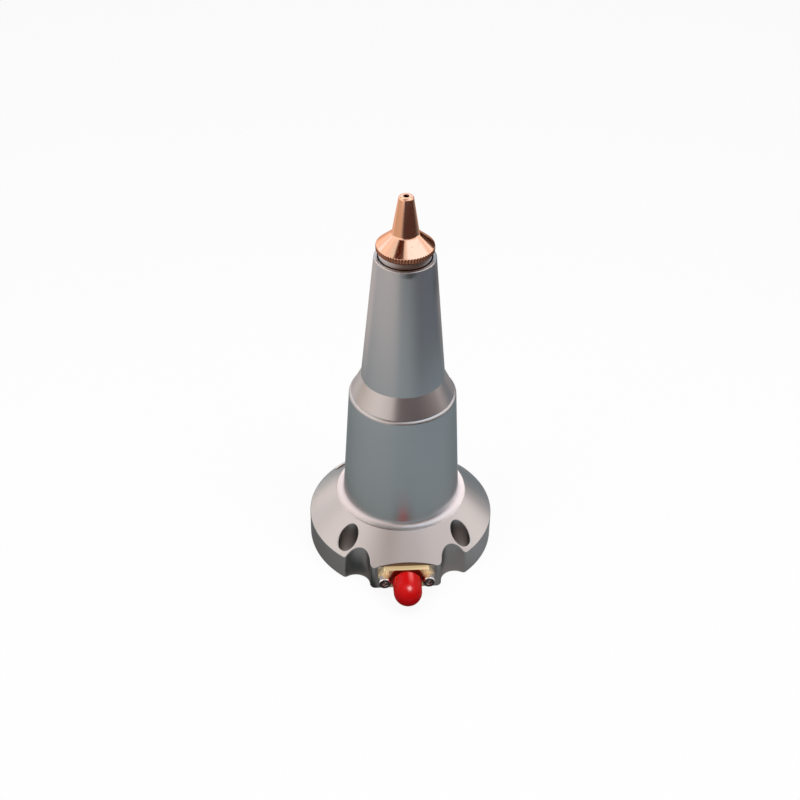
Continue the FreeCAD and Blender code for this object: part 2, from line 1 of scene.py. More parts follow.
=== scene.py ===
# %% [markdown]
# # A laser cutting head
# This lesson dresses the solids of a laser cutting head: a grey anodised body, a copper nozzle that screws
# in at the top, and a gold coax connector under a red dust cap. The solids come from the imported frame, in
# metres, standing on z = 0 with the nozzle up and the connector towards -Y.

import json
import math

import bpy
import numpy as np
from mathutils import Matrix, Vector

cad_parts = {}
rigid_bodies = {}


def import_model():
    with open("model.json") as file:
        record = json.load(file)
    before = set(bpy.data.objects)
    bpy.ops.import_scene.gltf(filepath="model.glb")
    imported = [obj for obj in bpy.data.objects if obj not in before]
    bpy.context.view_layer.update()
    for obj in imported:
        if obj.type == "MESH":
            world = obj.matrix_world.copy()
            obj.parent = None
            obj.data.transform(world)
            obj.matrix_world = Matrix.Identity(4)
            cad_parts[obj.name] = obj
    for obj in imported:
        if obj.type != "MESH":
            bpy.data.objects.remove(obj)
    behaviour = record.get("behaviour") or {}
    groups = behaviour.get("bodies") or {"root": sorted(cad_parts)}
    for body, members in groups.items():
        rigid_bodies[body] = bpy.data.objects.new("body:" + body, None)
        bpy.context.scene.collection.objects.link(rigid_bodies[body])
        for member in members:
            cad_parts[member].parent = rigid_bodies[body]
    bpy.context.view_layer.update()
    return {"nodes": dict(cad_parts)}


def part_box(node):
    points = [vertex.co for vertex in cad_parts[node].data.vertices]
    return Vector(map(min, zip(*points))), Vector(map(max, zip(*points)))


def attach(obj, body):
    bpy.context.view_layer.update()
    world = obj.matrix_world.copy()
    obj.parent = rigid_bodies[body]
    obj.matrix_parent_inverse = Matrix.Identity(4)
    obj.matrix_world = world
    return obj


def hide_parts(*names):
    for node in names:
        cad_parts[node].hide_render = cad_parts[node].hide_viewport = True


for leftover in list(bpy.data.objects):
    bpy.data.objects.remove(leftover)
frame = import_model()
nodes = frame["nodes"]

# %% [markdown]
# ## Landmarks
# Every size below is written in millimetres. A new piece takes its place and its overall size from the box
# of the solid that it stands for, so that it sits exactly where that solid does. The connector's shell is a
# plate on the flange's flat with a boss behind it, so these two depths say where its plate is.

# %% Units and landmarks
mm = 0.001
plate_thickness = 1.65
boss_length = 1.5


def box_of(name):
    """The lowest and highest corner of a solid, in millimetres."""
    low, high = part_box(name)
    return Vector(low) / mm, Vector(high) / mm


nozzle_low, nozzle_high = box_of("nozzle")
holder_low, holder_high = box_of("nozzle_holder")
screws_low, screws_high = box_of("connector_screws")
cap_low, cap_high = box_of("dust_cap")
front_flat = box_of("connector_shell")[1].y - boss_length
plate_front = front_flat - plate_thickness
cap_axis_z = (cap_low.z + cap_high.z) / 2
screw_axis_z = (screws_low.z + screws_high.z) / 2
screw_head_radius = (screws_high.z - screws_low.z) / 2
screw_axis_x = screws_high.x - screw_head_radius
print("the nozzle's tip is %.2f mm above the base" % nozzle_high.z)

# %% [markdown]
# ## Camera
# A product photo is taken with a long lens from a little way above. The photo's camera looks down at the
# head by 38 degrees from just left of the connector, and is tilted by one degree, so the tip leans right.
# A camera in Blender looks along its own -Z axis, so a direction is turned into a rotation first.

# %% Make the camera
camera_position = Vector((-23.1, -293.0, 276.3)) * mm
camera_target = Vector((0.0, 0.0, 47.1)) * mm
camera_tilt = math.radians(1.06)
camera_lens = 61.8
camera_shift = -0.0031

camera_data = bpy.data.cameras.new("camera")
camera_data.lens = camera_lens
camera_data.sensor_width = 36.0
camera_data.shift_x = camera_shift
camera_data.dof.use_dof = False
camera_data.clip_start = 0.01
camera_data.clip_end = 20.0
camera = bpy.data.objects.new("camera", camera_data)
bpy.context.scene.collection.objects.link(camera)
looking = (camera_target - camera_position).to_track_quat("-Z", "Y").to_matrix()
tilting = Matrix.Rotation(camera_tilt, 3, "Z")
camera.matrix_world = Matrix.Translation(camera_position) @ (looking @ tilting).to_4x4()
bpy.context.scene.camera = camera
bpy.context.scene.view_settings.view_transform = "Standard"
print("camera at", camera.location)

# %% [markdown]
# ## Shader maths
# A material is a graph of nodes. To write its sums as plain Python, a small class wraps one output socket
# and overloads the operators: each of them adds a Math node and returns the wrapped result.

# %% A number in a node tree
class Wire:
    """A number that a node puts out. Sums on it add Math nodes."""

    def __init__(self, finish, socket):
        self.finish = finish
        self.socket = socket

    def math(self, operation, *others):
        values = dict(enumerate((self, *others)))
        return self.finish.add("ShaderNodeMath", {"operation": operation}, values)

    def __add__(self, other):
        return self.math("ADD", other)

    __radd__ = __add__

    def __sub__(self, other):
        return self.math("SUBTRACT", other)

    def __rsub__(self, other):
        return self.finish.add("ShaderNodeMath", {"operation": "SUBTRACT"}, {0: other, 1: self})

    def __mul__(self, other):
        return self.math("MULTIPLY", other)

    __rmul__ = __mul__

    def ramp(self, low, high):
        """0 below one level, 1 above another, smooth between."""
        settings = {"interpolation_type": "SMOOTHSTEP"}
        return self.finish.add("ShaderNodeMapRange", settings, {"Value": self, 1: low, 2: high})

    def rise(self, low, high):
        """0 below one place and 1 above another, both in millimetres."""
        return self.ramp(low * mm, high * mm)

    def fall(self, low, high):
        """1 below one place and 0 above another, both in millimetres."""
        return 1.0 - self.rise(low, high)


print("sums of wires ready")

# %% [markdown]
# The second class is the material itself. Its one `add` method makes any node: the settings come first, then
# the values or wires of the sockets. `mix` blends two colours, because a Math node would turn them grey.

# %% A material under construction
class Room:
    """The node tree of a world or a material, and the one method that adds its nodes."""

    def __init__(self, owner):
        self.tree = owner.node_tree

    def feed(self, socket, value):
        """Links a wire to a socket, or sets a plain value on it."""
        if isinstance(value, Wire):
            self.tree.links.new(value.socket, socket)
        elif isinstance(value, tuple) and socket.type == "RGBA":
            socket.default_value = (*value, 1.0)
        else:
            socket.default_value = value

    def add(self, kind, settings, sockets, output=0):
        """Adds a node of any kind and returns one of its outputs as a wire."""
        node = self.tree.nodes.new(kind)
        for setting, value in settings.items():
            setattr(node, setting, value)
        for socket, value in sockets.items():
            self.feed(node.inputs[socket], value)
        return Wire(self, node.outputs[output])

    def close(self, end, surface):
        """Makes a shader the tree's surface."""
        self.feed(self.tree.nodes[end].inputs["Surface"], surface)


class Finish(Room):
    """One procedural material, built on the Principled shader. It keeps the point's place on the object, as
    a vector and as x, y and z, and its colour and roughness so far."""

    def __init__(self, name, **sockets):
        self.material = bpy.data.materials.new(name)
        self.material.use_nodes = True
        super().__init__(self.material)
        self.shader = self.tree.nodes["Principled BSDF"]
        for socket, value in sockets.items():
            self.set(socket.replace("_", " "), value)

    def find_place(self):
        """Reads the point's place in the object's own coordinates."""
        self.spot = self.add("ShaderNodeTexCoord", {}, {}, "Object")
        parts = [self.add("ShaderNodeSeparateXYZ", {}, {0: self.spot}, axis) for axis in "XYZ"]
        self.x, self.y, self.z = parts

    def mix(self, factor, first, second):
        """The blend of two colours."""
        return self.add("ShaderNodeMix", {"data_type": "RGBA"}, {0: factor, 6: first, 7: second}, 2)

    def noise(self, scale, detail):
        """Soft noise from 0 to 1 over the point's place."""
        return self.add("ShaderNodeTexNoise", {}, {"Vector": self.spot, "Scale": scale, "Detail": detail})

    def lines(self, number, scale, detail):
        """Soft noise from 0 to 1 along one number, so that it is the same wherever that number is."""
        sockets = {"W": number, "Scale": scale, "Detail": detail}
        return self.add("ShaderNodeTexNoise", {"noise_dimensions": "1D"}, sockets)

    def bump(self, height, distance):
        """Raises the surface by a height from 0 to 1 times a distance in metres."""
        self.set("Normal", self.add("ShaderNodeBump", {}, {"Height": height, "Distance": distance}))

    def set(self, socket, value):
        """Feeds one socket of the surface's shader."""
        self.feed(self.shader.inputs[socket], value)

    def wear(self, colour, roughness):
        """Makes a colour and a roughness the surface's own, and keeps them for a stain to build on."""
        self.colour = colour
        self.roughness = roughness
        self.set("Base Color", colour)
        self.set("Roughness", roughness)

    def stain(self, share, colour, rougher=0.0):
        """Lays another colour over the surface, by a share from 0 to 1, and makes it rougher there."""
        self.wear(self.mix(share, self.colour, colour), self.roughness + share * rougher)


print("shader classes ready")

# %% [markdown]
# ## Turned metal
# The flange, the cones and the nozzle come off a lathe. The tool leaves rings so fine that they only soften
# the reflection. A ring is where height minus radius is constant, on a wall, a face and a cone alike, so a
# one-dimensional noise along that number draws them all.

# %% Lathe rings
def turned_metal(name, colour, roughness, ring_pitch, ring_depth, spread=0.06):
    """A metal with lathe rings in its bump, and faint patches in its colour and gloss. The rings follow
    height minus distance from the axis. Their pitch and depth are in millimetres."""
    finish = Finish(name, Metallic=1.0)
    finish.find_place()
    radius = (finish.x * finish.x + finish.y * finish.y).math("SQRT")
    rings = finish.lines(finish.z - radius, 1.0 / (ring_pitch * mm), 2.0)
    patches = finish.noise(60.0, 3.0)
    grain = finish.noise(9000.0, 1.0)
    darker = tuple(part * (1.0 - spread) for part in colour)
    colour_here = finish.mix(patches, darker, colour)
    finish.wear(colour_here, roughness + (patches - 0.5) * 0.08 + (rings - 0.5) * 0.06)
    finish.bump(rings * 0.7 + grain * 0.3, ring_depth * mm)
    return finish


ring_steel = turned_metal("turned_steel", (0.36, 0.35, 0.34), 0.3, 0.1, 0.003)
brass = turned_metal("turned_brass", (0.6, 0.42, 0.18), 0.25, 0.1, 0.003)
soft_copper = turned_metal("soft_copper", (0.48, 0.22, 0.13), 0.35, 0.1, 0.002)
print("made the inner metals")

# %% [markdown]
# ## Gold plate and screws
# A stain is a second colour, laid over a metal where a sum over the point's place says so. Here both stains
# are painted light: the cap's red as a painted reflection on the gold plate and painted shade on the neck at
# its mouth, and painted highlights on the upper rims of the screw heads. Both are round marks, so both use
# the distance from a line along Y. The plate is thin plating that stays yellow where it mirrors nothing
# bright, so its metal is mixed with a plain yellow.

# %% Painted red reflection and rim highlights
red_reflection_radius = 4.3
red_reflection_fade = 0.6
red_reflection_length = 1.4
rim_highlight_start = 1.1


def from_line(finish, x, z):
    """How far a point is from a line along Y, the same on the left and the right, in metres."""
    across = finish.x.math("ABSOLUTE") - x * mm
    above = finish.z - z * mm
    return (across * across + above * above).math("SQRT")


gold = turned_metal("gold_plate", (1.0, 0.76, 0.42), 0.12, 0.1, 0.0004)
gold.set("Metallic", 0.4)
# Painted reflection and shade: the cap's dark red laid on the plate's front and the neck beside the cap.
beside_cap = from_line(gold, 0.0, cap_axis_z).fall(red_reflection_radius, red_reflection_radius + red_reflection_fade)
in_front = gold.y.fall(plate_front + 0.02, plate_front + 0.06)
behind_cap = gold.y.rise(plate_front - red_reflection_length - 0.4, plate_front - red_reflection_length)
gold.stain(beside_cap * in_front * behind_cap, (0.32, 0.014, 0.006), 0.1)

screw_steel = turned_metal("screw_steel", (0.5, 0.45, 0.44), 0.14, 0.06, 0.0004)
# Painted highlight: the upper rims of the screw heads made bright.
on_rim = from_line(screw_steel, screw_axis_x, screw_axis_z).rise(rim_highlight_start, rim_highlight_start + 0.1)
upper = screw_steel.z.rise(screw_axis_z + 0.2, screw_axis_z + 0.8)
screw_steel.stain(on_rim * upper, (1.0, 0.95, 0.9))
print("made the gold and the screws' steel")

# %% [markdown]
# ## Anodised body
# The body is turned aluminium with a satin grey anodised skin. The fillet at the barrel's foot is painted
# paler as a painted highlight, most of all on its sides, and the flange's cone is painted paler at its back
# left as painted light. The narrow wall above the connector is painted dark as painted shade. These marks
# could be materials of their own on some of the faces, but the solid's faces don't end where the marks do,
# so a height and a side say where each mark lies and how softly it ends.

# %% Grey skin with painted highlights and shade
cone_low = 8.0
foot_low = 15.6
foot_high = 17.6
plate_top = 8.3


def anodised_skin(name):
    """The grey satin metal of the body and the nose, whose edges darken as a thin skin does."""
    finish = turned_metal(name, (0.5, 0.48, 0.47), 0.3, 0.12, 0.0004)
    finish.set("Specular Tint", (0.6, 0.6, 0.6))
    return finish


body_skin = anodised_skin("anodised_body")
# Painted highlight: the fillet at the barrel's foot is made paler, more on its left side.
above_foot = body_skin.z.rise(foot_low - 0.1, foot_low)
on_fillet = above_foot * body_skin.z.fall(foot_high - 0.9, foot_high)
at_left = body_skin.x.fall(-16, -7)
body_skin.stain(on_fillet * (0.3 + 0.7 * at_left), (0.78, 0.72, 0.72), 0.32)

# Painted highlight: a brighter band on the right side of the barrel's foot.
on_foot = above_foot * body_skin.z.fall(foot_high - 0.2, foot_high + 1.8)
at_right = body_skin.x.rise(7, 16)
body_skin.stain(on_foot * at_right, (0.95, 0.89, 0.89), 0.32)

# Painted light: the flange's cone made paler at its back left.
on_cone = body_skin.z.rise(cone_low - 0.1, cone_low + 0.1) * body_skin.z.fall(foot_low - 0.4, foot_low)
back_left = body_skin.y.rise(-4, 9) * body_skin.x.fall(-20, -12)
body_skin.stain(on_cone * back_left, (0.85, 0.77, 0.73))

# Painted shade: the narrow wall above the connector plate is darkened, where shade falls in the corner.
over_plate = body_skin.z.rise(plate_top - 0.1, plate_top + 0.1)
on_flat = body_skin.y.fall(front_flat + 0.05, front_flat + 0.2)
body_skin.stain(over_plate * on_flat, (0.16, 0.12, 0.1), 0.1)
print("made", body_skin.material.name)

# %% [markdown]
# ## Anodised nose, plated holder
# The nose has the same skin. A small dark spot under its lip is a painted dark reflection, and its right
# side is painted darker there as painted shade. The front of the plated holder is painted brown as painted
# shade.
# These painted marks face the front, so a distance in the x-z plane is enough for the spot and the holder.

# %% Painted dark reflection and shade
lip_reflection_place = (0.5, 92.1)
lip_reflection_reach = (3.0, 1.3)
holder_shade_place = (0.8, holder_high.z - 1.0)
holder_shade_reach = (8.0, 9.0)


def near(finish, place, reach):
    """1 at a point of the x-z plane, fading to 0 at the given reach along x and z, on the front side."""
    across = (finish.x - place[0] * mm) * (1.0 / (reach[0] * mm))
    along = (finish.z - place[1] * mm) * (1.0 / (reach[1] * mm))
    apart = (across * across + along * along).math("SQRT")
    return (1.0 - apart.ramp(0.2, 1.0)) * finish.y.fall(-2, 0)


nose_skin = anodised_skin("anodised_nose")
# Painted reflection: a small dark spot under the nose's lip, broken up by noise.
dark_lip_reflection = near(nose_skin, lip_reflection_place, lip_reflection_reach) * nose_skin.noise(500.0, 2.0).ramp(0.1, 0.7)
nose_skin.stain(dark_lip_reflection * 0.8, (0.1, 0.09, 0.09), 0.1)
# Painted shade: the nose's right side darkened near its top.
shaded_right_side = nose_skin.x.rise(6, 9) * nose_skin.z.rise(80, 90)
nose_skin.stain(shaded_right_side, (0.14, 0.15, 0.155))

nickel = turned_metal("nickel_plate", (0.8, 0.75, 0.73), 0.2, 0.08, 0.0004)
# Painted shade: the holder's front turned brown under the copper rim.
nickel.stain(near(nickel, holder_shade_place, holder_shade_reach), (0.24, 0.15, 0.12), 0.1)
print("made", nose_skin.material.name, "and", nickel.material.name)

# %% [markdown]
# ## Copper
# The nozzle is polished copper, bright and pale on its cones. Its knurled rim is painted dark brown as
# painted shade. The rim is found by its height, and the painted shade fades out at its edges. The small
# spots on the cones are noise with its low levels cut off, which leaves only scattered peaks.

# %% Polished copper with a dark knurl
rim_foot = holder_high.z + 0.05
rim_height = 1.65
rim_top = rim_foot + rim_height


def polished_copper():
    """Copper whose colour turns brown between the rim's two edges as painted shade, with faint spots on its
    cones.
    """
    finish = Finish("polished_copper", Metallic=1.0)
    finish.find_place()
    radius = (finish.x * finish.x + finish.y * finish.y).math("SQRT")
    above_rim_foot = finish.z.rise(rim_foot - 0.05, rim_foot + 0.05)
    below_rim_top = finish.z.fall(rim_top - 0.2, rim_top - 0.05)
    on_knurl = radius.rise(6.6, 6.9) * above_rim_foot * below_rim_top
    rings = finish.lines(finish.z - radius, 1.0 / (0.07 * mm), 2.0)
    patches = finish.noise(90.0, 3.0)
    spots = finish.noise(1500.0, 2.0).ramp(0.64, 0.74)
    clean = finish.mix(patches, (0.78, 0.46, 0.31), (0.84, 0.52, 0.37))
    spotted = finish.mix(spots * 0.45, clean, (0.4, 0.22, 0.15))
    # Painted shade: the knurled rim's colour is dark brown.
    finish.set("Base Color", finish.mix(on_knurl, spotted, (0.36, 0.15, 0.09)))
    finish.set("Roughness", 0.14 + (patches - 0.5) * 0.06 + on_knurl * 0.22 + spots * 0.1)
    finish.set("Specular Tint", (0.75, 0.5, 0.4))
    finish.bump(rings * 0.8 + spots * 0.2, 0.0005 * mm)
    return finish


copper = polished_copper()
print("made", copper.material.name)

# %% [markdown]
# ## Plastics, rubber and ceramic
# The other materials aren't metal. A plastic's colour comes from inside it, its gloss from its skin: noise
# in the roughness and a very shallow bump keep that skin from looking like flat paint. The cap has a painted
# highlight: a paler streak along its top, just right of the middle.

# %% A plastic's recipe
def plastic(name, colour, roughness, bump_depth, spread=0.12):
    """A moulded or machined plastic with faint patches and an uneven skin, its depth in millimetres."""
    finish = Finish(name)
    finish.find_place()
    patches = finish.noise(150.0, 3.0)
    darker = tuple(part * (1.0 - spread) for part in colour)
    finish.wear(finish.mix(patches, darker, colour), roughness + (patches - 0.5) * 0.1)
    finish.bump(finish.noise(1400.0, 2.0), bump_depth * mm)
    return finish


insulator = plastic("beige_insulator", (0.62, 0.5, 0.34), 0.45, 0.004)
ceramic = plastic("white_ceramic", (0.82, 0.8, 0.74), 0.3, 0.003)
white_plastic = plastic("white_insulator", (0.82, 0.82, 0.8), 0.4, 0.002)
rubber = plastic("black_rubber", (0.02, 0.02, 0.022), 0.6, 0.006)
wire_jacket = plastic("wire_jacket", (0.75, 0.74, 0.7), 0.4, 0.002)
print("made the plastics")

# %% Red cap with a painted highlight streak
red_cap = plastic("red_cap", (0.6, 0.002, 0.003), 0.3, 0.002, spread=0.0)
red_cap.set("Specular IOR Level", 0.12)
# Painted highlight: a paler streak along the cap's top, short of its domed end.
highlight_streak = red_cap.x.rise(-0.1, 0.9) * red_cap.x.fall(1.0, 1.9)
on_top = red_cap.z.rise(cap_axis_z, cap_high.z)
short_of_end = red_cap.y.rise(-32.5, -28.5)
red_cap.stain(highlight_streak * on_top * short_of_end * 0.75, (0.95, 0.17, 0.16))
print("made", red_cap.material.name)

# %% [markdown]
# ## Dressing the solids
# A solid arrives with a plain material in its slot. Only the slot is changed here, and its mesh stays as it
# is. Pieces that are made of the same stuff share one finish.

# %% Give each solid its finish
finish_of = {
    "body": body_skin,
    "nose_cone": nose_skin,
    "lock_ring": ring_steel,
    "lower_insulator": insulator,
    "upper_insulator": insulator,
    "tip_insulator": ceramic,
    "electrode_tube": brass,
    "base_seal": rubber,
    "nose_seal": rubber,
    "tube_seal": rubber,
    "insulator_seal": rubber,
    "tip_seal": rubber,
    "nozzle_holder": nickel,
    "nozzle_washer": soft_copper,
    "nozzle": copper,
    "connector_shell": gold,
    "connector_dielectric": white_plastic,
    "connector_pin": gold,
    "connector_seal": rubber,
    "connector_screws": screw_steel,
    "dust_cap": red_cap,
    "signal_wire": wire_jacket,
    "contact_lug": soft_copper,
    "contact_screw": ring_steel,
}
for name, finish in finish_of.items():
    nodes[name].data.materials.clear()
    nodes[name].data.materials.append(finish.material)
print("dressed", len(finish_of), "solids")

# %% [markdown]
# ## Turned pieces as surfaces
# Four pieces deserve more than their solids show: the nozzle and its holder get their thread, the screws get
# a fine knurl, and the cap gets a soft mouth. Each is a surface of revolution: an outline of radius against
# place along the axis, turned through a full circle. Blender's Screw modifier could turn the outline too,
# but it only makes plain circles. Here the whole grid of points is one numpy array, so a knurl or a thread
# is a change of the radius as a function of angle and place.

# %% Outline with rounded corners
corner_steps = 5


def rounded(corners):
    """Swaps each (radius, place, round) corner of an outline for an arc that is tangent to both its sides.
    Half the corner's angle gives the arc's centre, which lies on the bisector at round / sin(half), and its
    ends, which lie on the sides at round / tan(half). The outline closes on itself."""
    corners = np.array(corners, dtype=float)
    points, rounds = corners[:, :2], corners[:, 2:]
    to_last = np.roll(points, 1, axis=0) - points
    to_next = np.roll(points, -1, axis=0) - points
    to_last /= np.linalg.norm(to_last, axis=1, keepdims=True)
    to_next /= np.linalg.norm(to_next, axis=1, keepdims=True)
    half = np.arccos(np.clip((to_last * to_next).sum(axis=1, keepdims=True), -1, 1)) / 2
    bisector = to_last + to_next
    bisector /= np.linalg.norm(bisector, axis=1, keepdims=True)
    centres = points + bisector * rounds / np.sin(half)
    starts = points + to_last * rounds / np.tan(half) - centres
    ends = points + to_next * rounds / np.tan(half) - centres
    share = np.linspace(0, 1, corner_steps)[None, :, None]
    spokes = starts[:, None] * (1 - share) + ends[:, None] * share
    spokes *= rounds[:, None] / np.linalg.norm(spokes, axis=2, keepdims=True)
    return (centres[:, None] + spokes).reshape(-1, 2)


def filled(outline, low, high, step):
    """Adds points to an outline's straight runs between two places along the axis, so that a thread has rows
    to follow: each run that crosses a place gets a point there. A point's rank is the number of its run plus
    the share of the run that lies before it, so sorting by rank puts every point in its turn."""
    places = np.arange(low, high, step)
    runs = np.roll(outline, -1, axis=0) - outline
    start, end = outline[:, 1:], outline[:, 1:] + runs[:, 1:]
    crossed = (places > np.minimum(start, end)) & (places < np.maximum(start, end))
    run, place = np.nonzero(crossed)
    share = (places[place] - outline[run, 1]) / runs[run, 1]
    added = outline[run] + share[:, None] * runs[run]
    rank = np.concatenate([np.arange(len(outline)), run + share])
    return np.vstack([outline, added])[np.argsort(rank, kind="stable")]


print("outline helpers ready")

# %% [markdown]
# A grid of points becomes a mesh of quads. A ring-like piece closes on itself both ways. A piece that
# reaches the axis gets one point at each end and a fan of triangles round it, so that its poles are closed.

# %% Grid to mesh
sharp_angle = math.radians(32)


def grid_faces(rows, columns, ring):
    """Quads between neighbouring rows, as four corner numbers each. Columns close on themselves, and so do
    the rows of a ring."""
    row, column = np.meshgrid(np.arange(rows if ring else rows - 1), np.arange(columns), indexing="ij")
    next_row = (row + 1) % rows
    next_column = (column + 1) % columns
    corners = ((row, column), (row, next_column), (next_row, next_column), (next_row, column))
    return np.stack([r * columns + c for r, c in corners], axis=-1).reshape(-1, 4)


def grid_fans(rows, columns):
    """Triangles that close the two ends of a grid. The poles are the two points after the grid's own."""
    column = np.arange(columns)
    following = (column + 1) % columns
    last_row = (rows - 1) * columns
    poles = rows * columns + np.arange(2)[:, None] + 0 * column
    first_fan = np.column_stack([following, column, poles[0]])
    last_fan = np.column_stack([last_row + column, last_row + following, poles[1]])
    return np.vstack([first_fan, last_fan])


def grid_mesh(name, grids, ring):
    """A mesh from grids of points, each shaped rows by columns by three and in millimetres."""
    points, quads, fans, offset = [], [], [], 0
    for grid in grids:
        rows, columns = grid.shape[:2]
        points.append(grid.reshape(-1, 3))
        quads.append(grid_faces(rows, columns, ring) + offset)
        if not ring:
            points.append(np.stack([grid[0].mean(axis=0), grid[-1].mean(axis=0)]))
            fans.append(grid_fans(rows, columns) + offset)
        offset = sum(len(part) for part in points)
    faces = [face for part in quads + fans for face in part.tolist()]
    mesh = bpy.data.meshes.new(name)
    mesh.from_pydata((np.vstack(points) * mm).tolist(), [], faces)
    mesh.shade_smooth()
    mesh.set_sharp_from_angle(angle=sharp_angle)
    print(name, len(mesh.vertices), "points", len(mesh.polygons), "faces")
    return mesh


print("grid helpers ready")

# %% [markdown]
# The outline's points turn with an angle about the head's axis, or about a line along -Y for the pieces of
# the connector. The finished piece rides on a body, so that it moves with that body's joint.

# %% Turn an outline and place the piece
def full_circle(steps):
    """Angles round a full circle, as one row."""
    return np.linspace(0, 2 * math.pi, steps, endpoint=False)[None, :]


def about_z(radius, place, angle):
    """Points of a piece turned about the head's axis: radius times cosine and sine, and the height."""
    return np.stack([radius * np.cos(angle), radius * np.sin(angle), place + 0 * angle], axis=-1)


def about_y(radius, place, angle, centre_x, centre_z):
    """Points of a piece turned about a line along -Y, at one x and z. The place is measured along -Y."""
    along = -(place + 0 * angle)
    return np.stack([centre_x + radius * np.cos(angle), along, centre_z + radius * np.sin(angle)], axis=-1)


def add_piece(mesh, body, finish):
    """Puts a mesh in the scene on one of the head's bodies, with its finish."""
    piece = bpy.data.objects.new(mesh.name, mesh)
    bpy.context.scene.collection.objects.link(piece)
    mesh.materials.append(finish.material)
    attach(piece, body)
    return piece


print("turning helpers ready")

# %% [markdown]
# ## Thread
# A thread is a ridge that climbs by one pitch for each turn. The radius goes down by a triangle wave of
# place / pitch - angle / full turn, and the wave fades in and out at the ends of the threaded stretch. The
# nozzle and its holder use the same wave, so that the ridge of one always lies in the groove of the other.

# %% Thread and knurl waves
def soft_step(values, edge, width):
    """0 below an edge and 1 above it, with a smooth ramp of the given width between."""
    share = np.clip((values - edge) / width + 0.5, 0, 1)
    return share * share * (3 - 2 * share)


def thread_wave(place, angle, pitch, low, high):
    """From 0 on the thread's outer radius to 1 at its inner radius."""
    turns = place / pitch - angle / (2 * math.pi)
    wave = 2 * np.abs(turns % 1.0 - 0.5)
    fade = soft_step(place, low + pitch / 2, pitch) * (1 - soft_step(place, high - pitch / 2, pitch))
    return np.clip(wave * 1.3 - 0.15, 0, 1) * fade


def knurl_wave(angle, teeth):
    """From 0 on a knurl's crest to 1 at the bottom of its groove."""
    return 1 - 2 * np.abs((angle * teeth / (2 * math.pi)) % 1.0 - 0.5)


nozzle_pitch = 1.0
nozzle_thread_depth = 0.54
thread_row = 0.09
print("thread and knurl ready")

# %% [markdown]
# ## Nozzle
# The real nozzle is turned from one copper bar: a threaded shank, a seat for the washer, a knurled rim, a
# shoulder cone, a long taper and a rounded tip round the orifice. Its outline goes up the outside, over the
# tip and down the passage. The knurl is cut as on the solid: no point lies outside the knurled prism.

# %% Nozzle surface
knurl_teeth = 60
knurl_depth = 0.22
knurl_columns = 6
shank_radius = 3.95
seat_radius = 5.9
seat_depth = 0.55
rim_radius = nozzle_high.x
rim_foot_chamfer = 0.4
rim_top_chamfer = 0.15
shoulder_radius = 3.5
shoulder_height = 3.4
tip_radius = 1.87
orifice_radius = 0.75
orifice_length = 2.0
entry_radius = 3.1
entry_length = 4.0

nozzle_outline = rounded([
    (shank_radius, nozzle_low.z, 0.2),
    (shank_radius, rim_foot + seat_depth, 0.08),
    (seat_radius, rim_foot + seat_depth, 0.08),
    (seat_radius, rim_foot, 0.05),
    (rim_radius - rim_foot_chamfer, rim_foot, 0.05),
    (rim_radius, rim_foot + rim_foot_chamfer, 0.06),
    (rim_radius, rim_top - rim_top_chamfer, 0.04),
    (rim_radius - rim_top_chamfer, rim_top, 0.05),
    (shoulder_radius, rim_top + shoulder_height, 0.9),
    (tip_radius, nozzle_high.z, 0.6),
    (orifice_radius, nozzle_high.z, 0.04),
    (orifice_radius, nozzle_high.z - orifice_length, 0.05),
    (entry_radius, nozzle_low.z + entry_length, 0.1),
    (entry_radius, nozzle_low.z, 0.1),
])
thread_low = nozzle_low.z + 0.25
thread_high = rim_foot - 0.3
nozzle_outline = filled(nozzle_outline, thread_low, thread_high, thread_row)
nozzle_outline = filled(nozzle_outline, rim_top + 0.08, rim_top + 0.6, 0.1)
angle = full_circle(knurl_teeth * knurl_columns)
radius, place = nozzle_outline[:, :1], nozzle_outline[:, 1:]
is_shank = (np.abs(radius - shank_radius) < 0.01) & (place < thread_high)
wave = thread_wave(place, angle, nozzle_pitch, thread_low, thread_high)
radius = radius - nozzle_thread_depth * wave * is_shank
radius = np.minimum(radius, rim_radius - knurl_depth * knurl_wave(angle, knurl_teeth))
nozzle_mesh = grid_mesh("nozzle_turned", [about_z(radius, place, angle)], ring=True)
nozzle = add_piece(nozzle_mesh, "nozzle_turning", copper)
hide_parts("nozzle")

# %% [markdown]
# ## Nozzle holder
# The holder is the plated ring that shows as a bright band under the rim. Its inner thread has the nozzle's
# own wave and starts 0.05 mm further out, so there is always a little play between the two.

# %% Holder surface
holder_thread_radius = shank_radius + 0.05
holder_shank_radius = 5.1
holder_band = 3.3
holder_bevel = 0.2
holder_columns = 240

holder_outline = rounded([
    (holder_shank_radius, holder_low.z, 0.1),
    (holder_shank_radius, holder_high.z - holder_band, 0.05),
    (holder_high.x, holder_high.z - holder_band, 0.05),
    (holder_high.x, holder_high.z - holder_bevel, 0.06),
    (holder_high.x - holder_bevel, holder_high.z, 0.06),
    (holder_thread_radius, holder_high.z, 0.08),
    (holder_thread_radius, holder_low.z, 0.1),
])
thread_low = holder_low.z + 0.1
thread_high = holder_high.z - 0.1
holder_outline = filled(holder_outline, thread_low, thread_high, thread_row)
angle = full_circle(holder_columns)
radius, place = holder_outline[:, :1], holder_outline[:, 1:]
wave = thread_wave(place, angle, nozzle_pitch, thread_low, thread_high)
is_thread = np.abs(radius - holder_thread_radius) < 0.01
radius = radius - (nozzle_thread_depth - 0.02) * wave * is_thread
holder_mesh = grid_mesh("holder_turned", [about_z(radius, place, angle)], ring=True)
holder = add_piece(holder_mesh, "head", nickel)
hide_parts("nozzle_holder")

